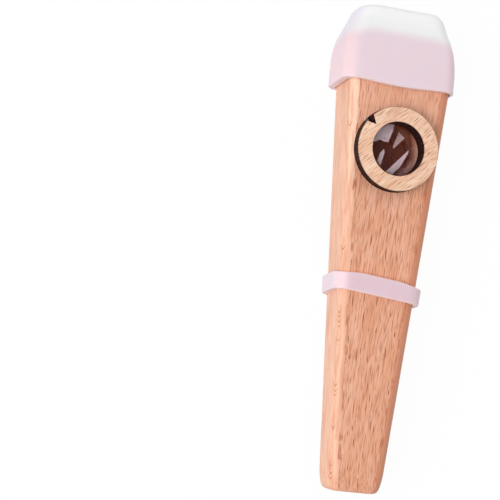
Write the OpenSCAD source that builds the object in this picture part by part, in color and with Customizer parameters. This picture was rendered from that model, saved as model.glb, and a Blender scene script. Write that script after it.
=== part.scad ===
// Wooden kazoo: a tapered beech body with a soft mouthpiece cap, a soft grip band,
// and a thin membrane held in a round recess by a push-in wooden ring.
// The body lies on its back. X runs across it, +Y points to the mouth end and +Z out of its face.

/* [Wooden body] */
// Length of the wooden body
body_len = 124.5; // [112:0.5:140]
// Width that the straight sides would reach at the mouth end
mouth_w = 30.8; // [29.5:0.1:34]
// Width at the narrow end
tail_w = 15.1; // [13.5:0.1:18]
// Depth from back to front at the mouth end
mouth_d = 16.3; // [15:0.1:19]
// Depth from back to front at the narrow end
tail_d = 11.5; // [10.5:0.1:13]
// Radius of the four long edges
edge_r = 2.6; // [1.5:0.1:3.5]
// Length over which the narrow end is sanded in
tail_taper_len = 6; // [4:0.5:10]
// How far the narrow end is sanded in on each side
tail_taper_drop = 0.7; // [0.3:0.1:1.2]
// Radius of the corners at the narrow end, seen from the front
tail_corner_r = 1.3; // [1:0.1:2.5]
// Radius of the edges around both end faces
end_edge_r = 0.6; // [0.3:0.1:0.9]
// Length of the rounded shoulder at the mouth end
shoulder_len = 10; // [6:0.5:11]
// How far that shoulder draws in on each side
shoulder_drop = 1.9; // [1:0.1:2.4]

/* [Air ways] */
// Radius of the sound chamber under the membrane
chamber_r = 7.5; // [6.5:0.1:8.5]
// Wood left under the sound chamber
chamber_floor_t = 2; // [1.5:0.1:3]
// Width of the slot in the mouth end
slot_w = 14; // [11:0.5:14.5]
// Height of the slot in the mouth end
slot_h = 6; // [4.5:0.1:6.5]
// Radius of the bore from the narrow end
outlet_r = 3.5; // [2.5:0.1:3.8]

/* [Membrane seat] */
// From the rim of the cap to the centre of the membrane
membrane_from_rim = 17.8; // [17:0.1:22]
// Depth of the round recess in the face
recess_depth = 2.2; // [1.5:0.1:2.6]
// Thickness of the membrane's carrier ring
carrier_t = 0.25; // [0.15:0.05:0.5]
// Width of the carrier ring, from its outer to its inner edge
carrier_w = 2.3; // [1.5:0.1:3.5]
// Thickness of the film
film_t = 0.1; // [0.05:0.05:0.15]

/* [Retaining ring] */
// Outer radius of the retaining ring
ring_r = 11.5; // [10.5:0.1:12]
// Radius of the hole through the retaining ring
ring_hole_r = 7.35; // [6.5:0.05:8]
// Thickness of the retaining ring
ring_t = 5; // [4:0.1:6]
// Width of the prying notch at the ring's outer edge
notch_w = 2.6; // [1.5:0.1:3]
// Depth of the prying notch
notch_depth = 2.5; // [1.5:0.1:3]
// Direction of the prying notch, turned from +X towards +Y
notch_angle = 141; // [0:1:359]

/* [Mouthpiece cap] */
// How far the cap reaches over the wood
cap_grip = 13.9; // [12:0.1:16]
// Wall of the cap
cap_wall = 1.4; // [1:0.1:2]
// How far the lip reaches past the wood
lip_len = 9.1; // [6:0.1:12]
// How far the lip is drawn in at each side
lip_side_inset = 2.4; // [1.5:0.1:3.5]
// How far the lip is drawn in at its front
lip_front_inset = 3.3; // [2:0.1:3.8]
// How far the lip is drawn in at its back
lip_back_inset = 4.6; // [2:0.1:5]
// Length of the cap that stays straight above its rim
cap_straight_len = 5; // [3:0.5:7]
// Length of the lip that is straight again below its tip
lip_straight_len = 3; // [1.5:0.1:5]
// Radius of the edges around the tip of the lip, front and back
lip_edge_r = 2; // [1:0.1:2.1]
// Radius of the corners at the tip of the lip, seen from the front
lip_tip_r = 4.8; // [3:0.1:5]
// Radius of the lip's four long corners
lip_corner_r = 4.8; // [3.5:0.1:5.2]
// Wall of the lip at its front and back
lip_wall = 2.4; // [2.3:0.1:3]
// Wall of the lip at each side
lip_side_wall = 5.6; // [5.2:0.1:6.5]
// Radius of the corners of the lip's opening
mouth_opening_r = 2.4; // [1:0.1:2.6]
// Radius of the outer edge of the cap's rim
rim_edge_r = 0.7; // [0.3:0.1:0.9]
// How far the soft cap sits off centre, to the left
cap_offset = 0.6; // [0:0.1:0.8]

/* [Grip band] */
// From the narrow end to the middle of the band
band_from_tail = 55.1; // [30:0.1:62]
// Width of the band along the body
band_w = 5.1; // [3:0.1:8]
// Wall of the band
band_wall = 1.4; // [1:0.1:2]
// Radius of the band's outer edges
band_edge_r = 0.6; // [0.2:0.1:0.8]
// How many degrees the band is askew across the face
band_skew = 5; // [0:0.5:7]
// How many degrees the band is askew from back to front
band_pitch = 4; // [0:0.5:6]

/* [Clearances] */
// Gap between the wood and the soft sleeves
sleeve_gap = 0.1; // [0.05:0.05:0.3]
// Radial gap between the recess and what sits in it
recess_gap = 0.1; // [0.05:0.05:0.2]

/* [Hidden] */

// How far a cut runs past the surface that it opens
overrun = 1;
// Facets of a full circle
$fn = 96;
// Steps around each rounded corner of a lofted section
corner_steps = 9;
// Steps along each rounded stretch of a loft
arc_steps = 6;
// Steps along the cap between its rim and its lip
cap_steps = 14;
// Moves the steepest place of the cap's flank towards its lip
flank_bias_share = 1.8;
quarter_turn = 90;

total_len = body_len + lip_len;
y_tail = -total_len / 2;
y_rim = y_tail + body_len - cap_grip;
y_membrane = y_rim - membrane_from_rim;
back_z = max(cap_wall, band_wall) + sleeve_gap;
face_rise_share = (mouth_d - tail_d) / body_len;
face_tilt = atan(face_rise_share);
shoulder_start = body_len - shoulder_len;

// Height of the straight face, and half of the straight width, at a distance from the narrow end
function face_z(v) = back_z + tail_d + face_rise_share * v;
function straight_half_w(v) = (tail_w + (mouth_w - tail_w) * v / body_len) / 2;

// How far a rounded edge of radius r is drawn in at a distance u from the end
function edge_in(u, r) = u >= r ? 0 : r - sqrt(r * r - (r - u) * (r - u));

// How far a long arc, which draws in by drop over len, is drawn in at a distance u along it
function arc_in(u, len, drop) =
    let (r = (len * len + drop * drop) / (2 * drop))
    u <= 0 ? 0 : r - sqrt(r * r - u * u);

// Distances from an end at which a rounded edge of radius r gets its sections, nearest first
function edge_stations(r) = [for (k = [0 : arc_steps]) r * (1 - cos(quarter_turn * k / arc_steps))];

// Points around a rounded rectangle that stands across Y
function section(y, x0, x1, z0, z1, r) = [
    for (q = [0 : 3])
        for (k = [0 : corner_steps])
            let (
                a = quarter_turn * (q + k / corner_steps),
                cx = (q == 0 || q == 3) ? x1 - r : x0 + r,
                cz = q < 2 ? z1 - r : z0 + r
            )
            [cx + r * cos(a), y, cz + r * sin(a)]
];

// A closed skin through sections that follow each other along +Y
module loft(sections) {
    n = len(sections[0]);
    last = len(sections) - 1;
    skin = [
        for (i = [0 : last - 1])
            for (j = [0 : n - 1])
                let (a = i * n + j, b = i * n + (j + 1) % n)
                each [[a, b, b + n], [a, b + n, a + n]]
    ];
    first_end = [for (j = [n - 1 : -1 : 0]) j];
    last_end = [for (j = [0 : n - 1]) last * n + j];
    polyhedron(points = [for (s = sections) each s], faces = concat(skin, [first_end, last_end]));
}

// Section of the wood at a distance v from the narrow end, grown by a gap on every side
function wood_section(v, gap = 0) =
    let (
        end_in = arc_in(v - shoulder_start, shoulder_len, shoulder_drop)
            + arc_in(tail_taper_len - v, tail_taper_len, tail_taper_drop)
            + edge_in(body_len - v, end_edge_r),
        side_in = end_in + edge_in(v, tail_corner_r),
        face_in = end_in + edge_in(v, end_edge_r),
        half_w = straight_half_w(v) - side_in + gap
    )
    section(y_tail + v, -half_w, half_w, back_z + face_in - gap, face_z(v) - face_in + gap, edge_r + gap);

wood_stations = concat(
    edge_stations(end_edge_r),
    [for (u = edge_stations(tail_corner_r)) if (u > end_edge_r) u],
    [for (k = [1 : arc_steps]) tail_corner_r + (tail_taper_len - tail_corner_r) * k / arc_steps],
    [for (k = [0 : arc_steps]) shoulder_start + (shoulder_len - end_edge_r) * k / arc_steps],
    [for (k = [1 : arc_steps]) body_len - edge_stations(end_edge_r)[arc_steps - k]]
);

// Places what follows on the wood's face at the membrane's centre, with +Z square to the face
module on_face() {
    translate([0, y_membrane, face_z(y_membrane - y_tail)])
        rotate([face_tilt, 0, 0])
            children();
}

// A bar with round sides, w wide and h high, along +Y from y0 to y1
module round_sided_bar(y0, y1, w, h, z) {
    translate([0, y1, z])
        rotate([quarter_turn, 0, 0])
            linear_extrude(y1 - y0) {
                square([w - h, h], center = true);
                for (side = [-1, 1])
                    translate([side * (w - h) / 2, 0])
                        circle(h / 2);
            }
}

slot_z = back_z + mouth_d / 2;
outlet_z = back_z + tail_d / 2;

module body() {
    color("#e2aa8c")
        difference() {
            loft([for (v = wood_stations) wood_section(v)]);
            on_face() {
                translate([0, 0, -recess_depth])
                    cylinder(h = recess_depth + overrun, r = ring_r + recess_gap);
                translate([0, 0, -face_z(y_membrane - y_tail) + back_z + chamber_floor_t])
                    cylinder(h = mouth_d, r = chamber_r);
            }
            round_sided_bar(y_membrane, y_tail + body_len + overrun, slot_w, slot_h, slot_z);
            translate([0, y_membrane, outlet_z])
                rotate([quarter_turn, 0, 0])
                    cylinder(h = y_membrane - y_tail + overrun, r = outlet_r);
        }
}

module membrane_film() {
    color("#8a7e88", 0.5)
        on_face()
            translate([0, 0, -recess_depth])
                cylinder(h = film_t, r = ring_r);
}

module membrane_carrier() {
    color("#f2f2f4")
        on_face()
            translate([0, 0, film_t - recess_depth])
                difference() {
                    cylinder(h = carrier_t, r = ring_r);
                    translate([0, 0, -overrun])
                        cylinder(h = carrier_t + 2 * overrun, r = ring_r - carrier_w);
                }
}

module retaining_ring() {
    color("#ecca9f")
        on_face()
            translate([0, 0, film_t + carrier_t - recess_depth])
                difference() {
                    cylinder(h = ring_t, r = ring_r);
                    translate([0, 0, -overrun])
                        cylinder(h = ring_t + 2 * overrun, r = ring_hole_r);
                    rotate(notch_angle)
                        translate([ring_r, 0, -overrun])
                            linear_extrude(ring_t + 2 * overrun)
                                polygon([[-notch_depth, 0], [notch_depth, -notch_w], [notch_depth, notch_w]]);
                }
}

cap_len = cap_grip + lip_len;
cap_half_w = straight_half_w(shoulder_start) + sleeve_gap + cap_wall;
cap_back_z = back_z - sleeve_gap - cap_wall;
cap_front_z = face_z(shoulder_start) + sleeve_gap + cap_wall;
cap_corner_r = edge_r + sleeve_gap + cap_wall;
flank_len = cap_len - cap_straight_len - lip_straight_len;

// Share of the lip's inset that is reached at a distance s above the cap's rim
function flank_share(s) =
    let (t = min(1, max(0, (s - cap_straight_len) / flank_len)))
    (1 - cos(2 * quarter_turn * pow(t, flank_bias_share))) / 2;

function cap_section(s) =
    let (
        rim_in = edge_in(s, rim_edge_r),
        edge = rim_in + edge_in(cap_len - s, lip_edge_r),
        half_w = cap_half_w - lip_side_inset * flank_share(s) - rim_in - edge_in(cap_len - s, lip_tip_r),
        z0 = cap_back_z + lip_back_inset * flank_share(s) + edge,
        z1 = cap_front_z - lip_front_inset * flank_share(s) - edge,
        r = cap_corner_r + (lip_corner_r - cap_corner_r) * flank_share(s) - edge
    )
    section(y_rim + s, -half_w - cap_offset, half_w - cap_offset, z0, z1, r);

cap_stations = concat(
    edge_stations(rim_edge_r),
    [for (k = [0 : cap_steps]) let (s = cap_straight_len + flank_len * k / cap_steps) if (s < cap_len - lip_tip_r) s],
    [for (k = [0 : arc_steps]) let (u = edge_stations(lip_tip_r)[arc_steps - k]) if (u > lip_edge_r) cap_len - u],
    [for (k = [0 : arc_steps]) cap_len - edge_stations(lip_edge_r)[arc_steps - k]]
);

// The pocket is straight up to the wood's shoulder, so that the cap slides off, and then follows the wood
pocket_stations = concat(
    [body_len - cap_grip - overrun],
    [for (k = [0 : arc_steps]) shoulder_start + (shoulder_len - end_edge_r) * k / arc_steps],
    [body_len + sleeve_gap]
);

function pocket_section(v) =
    let (points = wood_section(min(max(v, shoulder_start), body_len - end_edge_r), sleeve_gap))
    [for (p = points) [p.x, y_tail + v, p.z]];

mouth_opening_half_w = cap_half_w - lip_side_inset - lip_side_wall;
mouth_opening_back_z = cap_back_z + lip_back_inset + lip_wall;
mouth_opening_front_z = cap_front_z - lip_front_inset - lip_wall;

// A rectangle with true round corners, from -half_w to half_w and from low to high
module rounded_rectangle(half_w, low, high, r) {
    translate([-half_w + r, low])
        square([2 * (half_w - r), high - low]);
    translate([-half_w, low + r])
        square([2 * half_w, high - low - 2 * r]);
    for (x = [-half_w + r, half_w - r], y = [low + r, high - r])
        translate([x, y])
            circle(r);
}

module mouth_opening() {
    translate([-cap_offset, y_rim + cap_len + overrun, 0])
        rotate([quarter_turn, 0, 0])
            linear_extrude(lip_len + 2 * overrun)
                rounded_rectangle(
                    mouth_opening_half_w, mouth_opening_back_z, mouth_opening_front_z, mouth_opening_r);
}

module mouthpiece_cap() {
    color("#ecdde4", 0.9)
        difference() {
            loft([for (s = cap_stations) cap_section(s)]);
            loft([for (v = pocket_stations) pocket_section(v)]);
            mouth_opening();
        }
}

// The band follows the wood's taper, and its sections are sheared so that it sits askew
function band_shear(points, z_front) =
    [for (p = points) [p.x, p.y - p.x * tan(band_skew) - (z_front - p.z) * tan(band_pitch), p.z]];

function band_section(u, gap) =
    let (v = band_from_tail + u)
    band_shear(wood_section(v, gap), face_z(v));

band_stations = concat(
    [for (d = edge_stations(band_edge_r)) -band_w / 2 + d],
    [for (k = [0 : arc_steps]) band_w / 2 - edge_stations(band_edge_r)[arc_steps - k]]
);

module grip_band() {
    color("#e6d3dc", 0.9)
        difference() {
            loft([
                for (u = band_stations)
                    band_section(u, sleeve_gap + band_wall - edge_in(band_w / 2 - abs(u), band_edge_r))
            ]);
            loft([for (u = [-band_w / 2 - overrun, band_w / 2 + overrun]) band_section(u, sleeve_gap)]);
        }
}

body();
membrane_film();
membrane_carrier();
retaining_ring();
mouthpiece_cap();
grip_band();
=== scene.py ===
"""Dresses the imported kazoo: smooth wood, silicone and film around the CAD frame, and a plain studio."""

import math
from typing import NamedTuple

import bmesh
import bpy
from bpy.props import FloatProperty, FloatVectorProperty, PointerProperty
from mathutils import Euler, Matrix, Vector


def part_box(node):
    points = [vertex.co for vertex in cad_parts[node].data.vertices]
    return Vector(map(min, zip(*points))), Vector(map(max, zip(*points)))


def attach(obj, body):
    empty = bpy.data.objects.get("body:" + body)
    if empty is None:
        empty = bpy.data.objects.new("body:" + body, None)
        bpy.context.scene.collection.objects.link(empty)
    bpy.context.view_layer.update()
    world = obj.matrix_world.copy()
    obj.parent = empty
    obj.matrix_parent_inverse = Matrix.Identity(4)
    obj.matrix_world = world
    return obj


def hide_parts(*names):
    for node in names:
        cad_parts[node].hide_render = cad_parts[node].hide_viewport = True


bl_info = {
    "name": "Wooden Kazoo",
    "version": (1, 0, 0),
    "blender": (4, 5, 0),
    "location": "View3D > Sidebar > Kazoo",
    "description": "Builds a beech kazoo with a silicone cap, a grip band and a membrane under a wooden ring",
    "category": "Add Mesh",
}

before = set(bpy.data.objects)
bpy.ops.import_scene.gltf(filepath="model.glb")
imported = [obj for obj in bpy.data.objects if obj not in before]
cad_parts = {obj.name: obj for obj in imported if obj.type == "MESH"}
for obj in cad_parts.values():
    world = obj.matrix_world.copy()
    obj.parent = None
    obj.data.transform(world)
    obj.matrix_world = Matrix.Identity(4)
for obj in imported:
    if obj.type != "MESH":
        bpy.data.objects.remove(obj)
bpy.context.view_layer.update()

MM = 0.001
BODY_LOW, BODY_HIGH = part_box("body")
CAP_LOW, CAP_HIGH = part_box("mouthpiece_cap")
BAND_LOW, BAND_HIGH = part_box("grip_band")
FILM_LOW, FILM_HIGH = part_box("membrane_film")
BODY_LEN = BODY_HIGH.y - BODY_LOW.y
CAP_LEN = CAP_HIGH.y - CAP_LOW.y


def length(name, description, millimetres):
    """A length property with its default given in millimetres."""
    return FloatProperty(
        name=name, description=description, default=millimetres * MM, unit="LENGTH", precision=5)


def angle(name, description, degrees):
    """An angle property with its default given in degrees."""
    return FloatProperty(name=name, description=description, default=math.radians(degrees), unit="ROTATION")


def share(name, description, default):
    """A property from 0 to 1."""
    return FloatProperty(name=name, description=description, default=default, min=0, max=1, subtype="FACTOR")


def colour(name, description, red, green, blue):
    """A colour property whose default is given as screen values from 0 to 255."""
    linear = [screen_to_linear(value / 255) for value in (red, green, blue)]
    return FloatVectorProperty(
        name=name, description=description, default=linear, size=3, min=0, max=1, subtype="COLOR")


def screen_to_linear(value):
    """The linear value of one screen value from 0 to 1."""
    return value / 12.92 if value <= 0.04045 else ((value + 0.055) / 1.055) ** 2.4


class KazooWoodSizes(bpy.types.PropertyGroup):
    """Sizes of the wooden body and of the air ways in it"""

    mouth_w: length("Mouth end width", "Width that the straight sides would reach at the mouth end", 30.8)
    tail_w: length("Narrow end width", "Width at the narrow end", 15.1)
    mouth_d: length("Mouth end depth", "Depth from back to front at the mouth end", 16.3)
    tail_d: length("Narrow end depth", "Depth from back to front at the narrow end", 11.5)
    edge_r: length("Long edge radius", "Radius of the four long edges", 2.6)
    taper_len: length("Sanded length", "Length over which the narrow end is sanded in", 6)
    taper_drop: length("Sanded depth", "How far the narrow end is sanded in on each side", 0.7)
    corner_r: length("End corner radius", "Radius of the narrow end's corners, seen from the front", 1.3)
    end_edge_r: length("End edge radius", "Radius of the edges around both end faces", 0.6)
    shoulder_len: length("Shoulder length", "Length of the rounded shoulder at the mouth end", 10)
    shoulder_drop: length("Shoulder depth", "How far the shoulder draws in on each side", 1.9)
    chamber_r: length("Chamber radius", "Radius of the sound chamber under the membrane", 7.5)
    chamber_floor: length("Chamber floor", "Wood left under the sound chamber", 2)
    slot_w: length("Slot width", "Width of the slot in the mouth end", 14)
    slot_h: length("Slot height", "Height of the slot in the mouth end", 6)
    bore_r: length("Bore radius", "Radius of the bore from the narrow end", 3.5)
    bore_chamfer: length("Bore chamfer", "Chamfer around the bore's mouth", 0.35)
    recess_depth: length("Recess depth", "Depth of the round recess in the face", 2.2)
    recess_gap: length("Recess gap", "Radial gap between the recess and what sits in it", 0.1)


class KazooMembraneSizes(bpy.types.PropertyGroup):
    """Sizes of the film, its carrier and the ring that holds them"""

    ring_r: length("Outer radius", "Outer radius of the ring, the carrier and the film", 11.5)
    hole_r: length("Hole radius", "Radius of the hole through the ring", 7.35)
    ring_t: length("Ring thickness", "Thickness of the retaining ring", 5)
    ring_edge: length("Ring edge", "Softened edge of the laser cut ring", 0.1)
    notch_w: length("Notch width", "Width of the prying notch at the ring's outer edge", 2.6)
    notch_depth: length("Notch depth", "Depth of the prying notch", 2.5)
    notch_angle: angle("Notch direction", "Direction of the notch, turned from +X towards +Y", 141)
    film_t: length("Film thickness", "Thickness of the film with its lacquer", 0.1)
    carrier_t: length("Carrier thickness", "Thickness of the carrier ring", 0.25)
    carrier_w: length("Carrier width", "Width of the carrier ring", 2.3)


class KazooSoftSizes(bpy.types.PropertyGroup):
    """Sizes of the silicone cap and the silicone band"""

    gap: length("Gap", "Gap between the wood and the soft sleeves", 0.1)
    wall: length("Wall", "Wall of the cap and the band", 1.4)
    lip_side_inset: length("Lip inset at the sides", "How far the lip is drawn in at each side", 2.4)
    lip_front_inset: length("Lip inset in front", "How far the lip is drawn in at its front", 3.3)
    lip_back_inset: length("Lip inset behind", "How far the lip is drawn in at its back", 4.6)
    straight_len: length("Straight length", "Length of the cap that stays straight above its rim", 5)
    lip_straight_len: length("Straight lip", "Length of the lip that is straight again below its tip", 3)
    lip_edge_r: length("Lip edge radius", "Radius around the lip's tip, front and back", 2)
    lip_tip_r: length("Lip corner radius", "Radius of the lip's tip corners, seen from the front", 4.8)
    lip_corner_r: length("Lip long corners", "Radius of the lip's four long corners", 4.8)
    lip_wall: length("Lip wall", "Wall of the lip at its front and back", 2.4)
    lip_side_wall: length("Lip side wall", "Wall of the lip at each side", 5.6)
    opening_r: length("Opening corners", "Radius of the corners of the lip's opening", 2.4)
    rim_edge_r: length("Rim edge radius", "Radius of the outer edge of the cap's rim", 0.4)
    rim_sag: length("Rim sag", "How far the middle of the cap's rim has crept down the wood", 0.62)
    lip_dip: length("Lip dip", "How much lower the lip's tip is than at its right end", 0.6)
    flank_dent: length("Flank dent", "How far the right flank has fallen in below the lip", 0.6)
    rim_sag_len: length("Sag length", "Length over which the sag fades out", 9)
    band_w: length("Band width", "Width of the band along the body", 5.1)
    band_edge_r: length("Band edge radius", "Radius of the band's outer edges", 0.4)
    band_neck: length("Band necking", "How far the band's upper edge draws in where it bends", 0.6)
    band_skew: angle("Band skew", "How far the band is askew across the face", 5)
    band_pitch: angle("Band pitch", "How far the band is askew from back to front", 4)


class KazooColours(bpy.types.PropertyGroup):
    """Colours of the finishes"""

    beech: colour("Beech", "Main colour of the body", 229, 165, 129)
    beech_pale: colour("Pale beech", "Pale bands of the body", 241, 183, 154)
    beech_dark: colour("Dark beech", "Warm streaks of the body", 206, 134, 100)
    # The paler wood of the sides, and also the colour of the painted highlight on the left edge
    beech_side_and_highlight: colour("Beech side", "The smoother wood on the body's sides", 255, 210, 182)
    # The left rounded edge: smoother wood, paler than the face, and partly a painted highlight
    beech_edge_and_highlight: colour("Beech edge", "The smooth wood on the body's rounded edges", 243, 190, 160)
    # Painted shade on the right rounded edge and on the face beside it
    beech_right_shade: colour("Warm beech", "The darker wood along the body's right edge", 204, 128, 94)
    beech_cup: colour("Cup marks", "Nested marks and the warm seam along the body's edges", 184, 104, 68)
    beech_fleck: colour("Beech fleck", "Short dark flecks along the grain", 128, 46, 10)
    ring_wood: colour("Ring wood", "Main colour of the retaining ring", 241, 195, 166)
    ring_pale: colour("Pale ring wood", "Pale bands of the retaining ring", 250, 214, 187)
    ring_dark: colour("Dark ring wood", "Warm streaks of the retaining ring", 214, 154, 118)
    ring_fleck: colour("Ring fleck", "Flecks of the retaining ring", 112, 56, 28)
    scorch: colour("Scorch", "Walls that the laser has burnt", 32, 12, 8)
    scorch_brown: colour("Scorch brown", "Thinner burn beside the black", 94, 44, 34)
    # Painted shade: the dark of the sound chamber and of the air ways deep inside
    chamber: colour("Chamber", "Deep inside of the sound chamber", 122, 54, 36)
    # Painted light on the chamber's upper wall, where the lamp reaches through the hole
    chamber_wall_lit: colour("Chamber wall", "Upper wall of the sound chamber", 248, 190, 168)
    silicone: colour("Silicone", "Silicone with nothing behind it", 244, 244, 244)
    # Painted shade on left-facing silicone with no wood behind it
    silicone_left_shade: colour("Silicone side", "Silicone at its left side", 236, 230, 240)
    silicone_tint: colour("Silicone over wood", "Silicone with the wood showing through", 233, 213, 222)
    band_tint: colour("Band over wood", "Silicone of the band, which lies close on the wood", 226, 199, 209)
    silicone_side_tint: colour("Silicone over a side", "Silicone over a side of the wood", 240, 214, 221)
    band_side_tint: colour("Band over a side", "Silicone of the band over a side of the wood", 234, 217, 227)
    silicone_warm: colour("Silicone over an edge", "Silicone over the wood's long edges", 240, 212, 215)
    # Painted glow on the silicone's cut edges over the wood
    silicone_rim_glow: colour("Silicone rim", "Cut edge of the silicone, which glows with the wood", 255, 224, 220)
    # Painted reflection on the film's folds
    film_painted_sheen: colour("Film sheen", "Film where it catches the light", 238, 210, 218)
    film_clear: colour("Film", "Film where it is clear", 172, 88, 66)
    carrier: colour("Carrier", "Carrier ring of the film", 236, 236, 238)
    floor: colour("Floor", "Plain floor", 252, 252, 252)


class KazooStage(bpy.types.PropertyGroup):
    """Camera and lamps"""

    camera_place: FloatVectorProperty(
        name="Camera place", description="Where the camera stands", subtype="TRANSLATION",
        default=(-114.353 * MM, -45.272 * MM, 346.786 * MM))
    camera_turn: FloatVectorProperty(
        name="Camera turn", description="How the camera is turned", subtype="EULER",
        default=[math.radians(degrees) for degrees in (4.9805, -13.8268, 6.5728)])
    focal_mm: FloatProperty(
        name="Focal length", description="Focal length on a 36 mm sensor", default=93.6, unit="CAMERA")
    key_power: FloatProperty(
        name="Key light", description="Power of the lamp at the upper left", default=2.34, unit="POWER")
    key_place: FloatVectorProperty(
        name="Key place", description="Where the key light stands", subtype="TRANSLATION",
        default=(-0.42, -0.12, 0.42))
    key_size: length("Key size", "Side of the square key light", 400)
    fill_power: FloatProperty(
        name="Fill light", description="Power of the weak lamp at the upper right", default=0.7, unit="POWER")
    fill_place: FloatVectorProperty(
        name="Fill place", description="Where the fill light stands", subtype="TRANSLATION",
        default=(0.34, 0.42, 0.26))
    fill_size: length("Fill size", "Side of the square fill light", 400)
    sky: share("Sky light", "Strength of the even light from all around", 0.52)
    floor_bounce: share("Floor bounce", "How much of the light the floor throws back at the object", 0.74)
    floor_glow: share("Floor glow", "Share of plain white in what the camera sees of the floor", 0.96)


SETTINGS = {
    "kazoo_wood": KazooWoodSizes,
    "kazoo_membrane": KazooMembraneSizes,
    "kazoo_soft": KazooSoftSizes,
    "kazoo_colours": KazooColours,
    "kazoo_stage": KazooStage,
}


def settings(name):
    """One group of settings, such as "wood"."""
    return getattr(bpy.context.scene, "kazoo_" + name)


# Shared shapes

CORNER_SEGMENTS = 12
ARC_STEPS = 8
FLANK_STEPS = 20
ROUND_SEGMENTS = 160
OVERRUN = 1 * MM
WELD = 0.001 * MM
SMOOTH_LIMIT = math.radians(32)
FACE_WEIGHT = 80


class Section(NamedTuple):
    """A rounded rectangle that stands across Y."""

    y: float
    x0: float
    x1: float
    z0: float
    z1: float
    r: float

    def corner(self, right, top):
        """Centre of one rounded corner."""
        return Vector((self.x1 - self.r if right else self.x0 + self.r, self.y,
                       self.z1 - self.r if top else self.z0 + self.r))


def clamped(value):
    """A value kept between 0 and 1."""
    return max(0.0, min(1.0, value))


def eased(value):
    """A value kept between 0 and 1 that starts and ends softly."""
    t = clamped(value)
    return t * t * (3 - 2 * t)


def edge_in(u, r):
    """How far a rounded edge of radius r is drawn in at a distance u from the end."""
    return 0.0 if u >= r else r - math.sqrt(max(0.0, r * r - (r - u) ** 2))


def arc_in(u, run, drop):
    """How far a long arc, which draws in by drop over run, is drawn in at a distance u along it."""
    r = (run * run + drop * drop) / (2 * drop)
    return 0.0 if u <= 0 else r - math.sqrt(r * r - u * u)


def edge_stations(r):
    """Distances from an end at which a rounded edge gets its sections, nearest first."""
    return [r * (1 - math.cos(math.pi / 2 * k / ARC_STEPS)) for k in range(ARC_STEPS + 1)]


def steps(start, stop, count):
    """Even steps from start to stop, without start."""
    return [start + (stop - start) * k / count for k in range(1, count + 1)]


def reshape(verts, before, after):
    """Moves the vertices of one section to where the next section has them."""
    middle_x = (before.x0 + before.x1) / 2
    middle_z = (before.z0 + before.z1) / 2
    for vert in verts:
        corner = (vert.co.x > middle_x, vert.co.z > middle_z)
        offset = (vert.co - before.corner(*corner)) * (after.r / before.r)
        vert.co = after.corner(*corner) + offset


def upright_rectangle(y, x0, x1, z0, z1):
    """One rectangular face that stands across Y."""
    bm = bmesh.new()
    bmesh.ops.create_grid(bm, x_segments=1, y_segments=1, size=1, matrix=Matrix.Rotation(math.pi / 2, 4, "X"))
    for vert in bm.verts:
        vert.co = (x1 if vert.co.x > 0 else x0, y, z1 if vert.co.z > 0 else z0)
    return bm


def loft(sections):
    """A closed skin through sections that follow each other along Y."""
    *rectangle, first_r = sections[0]
    bm = upright_rectangle(*rectangle)
    bmesh.ops.bevel(bm, geom=bm.verts[:], offset=first_r, offset_type="OFFSET", segments=CORNER_SEGMENTS,
                    profile=0.5, affect="VERTICES", material=-1)
    face = bm.faces[:][0]
    for number, (before, after) in enumerate(zip(sections, sections[1:])):
        grown = bmesh.ops.extrude_face_region(bm, geom=[face])["geom"]
        if number:
            bmesh.ops.delete(bm, geom=[face], context="FACES_ONLY")
        face = [item for item in grown if isinstance(item, bmesh.types.BMFace)][0]
        reshape(face.verts, before, after)
    bmesh.ops.recalc_face_normals(bm, faces=bm.faces[:])
    return bm


def spin_round(bm, segments):
    """Spins a profile fully around Z and closes the seam."""
    bmesh.ops.spin(bm, geom=bm.verts[:] + bm.edges[:], cent=(0, 0, 0), axis=(0, 0, 1), angle=2 * math.pi,
                   steps=segments, use_merge=True)
    bmesh.ops.remove_doubles(bm, verts=bm.verts[:], dist=WELD)
    bmesh.ops.recalc_face_normals(bm, faces=bm.faces[:])


def washer(inner, outer, low, high):
    """A flat ring around Z, with square edges."""
    bm = upright_rectangle(0, inner, outer, low, high)
    bmesh.ops.delete(bm, geom=bm.faces[:], context="FACES_ONLY")
    spin_round(bm, ROUND_SEGMENTS)
    return bm


def drum(low_r, high_r, low, high):
    """A closed cylinder or cone around Z."""
    bm = bmesh.new()
    bmesh.ops.create_cone(bm, cap_ends=True, segments=ROUND_SEGMENTS, radius1=low_r, radius2=high_r,
                          depth=high - low, matrix=Matrix.Translation((0, 0, (low + high) / 2)))
    return bm


def new_object(name, data):
    """A new object in the scene, at the origin."""
    made = bpy.data.objects.new(name, data)
    bpy.context.scene.collection.objects.link(made)
    return made


def finish_object(name, bm, material):
    """Makes an object of a bmesh, in one material."""
    mesh = bpy.data.meshes.new(name)
    bm.to_mesh(mesh)
    bm.free()
    mesh.materials.append(material)
    return new_object(name, mesh)


def apply_modifiers(piece):
    """Replaces a piece's mesh by what its modifiers make of it."""
    bpy.context.view_layer.update()
    evaluated = piece.evaluated_get(bpy.context.evaluated_depsgraph_get())
    made = bpy.data.meshes.new_from_object(evaluated)
    old = piece.data
    piece.modifiers.clear()
    piece.data = made
    bpy.data.meshes.remove(old)
    made.name = piece.name


def cut(piece, *cutters):
    """Takes each cutter out of a piece. The cut faces keep the cutter's material."""
    for number, (bm, material) in enumerate(cutters):
        cutter = finish_object(f"{piece.name}_cutter_{number}", bm, material)
        modifier = piece.modifiers.new("Cut", "BOOLEAN")
        modifier.operation = "DIFFERENCE"
        modifier.solver = "EXACT"
        modifier.material_mode = "TRANSFER"
        modifier.object = cutter
        apply_modifiers(piece)
        bpy.data.meshes.remove(cutter.data)


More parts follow.
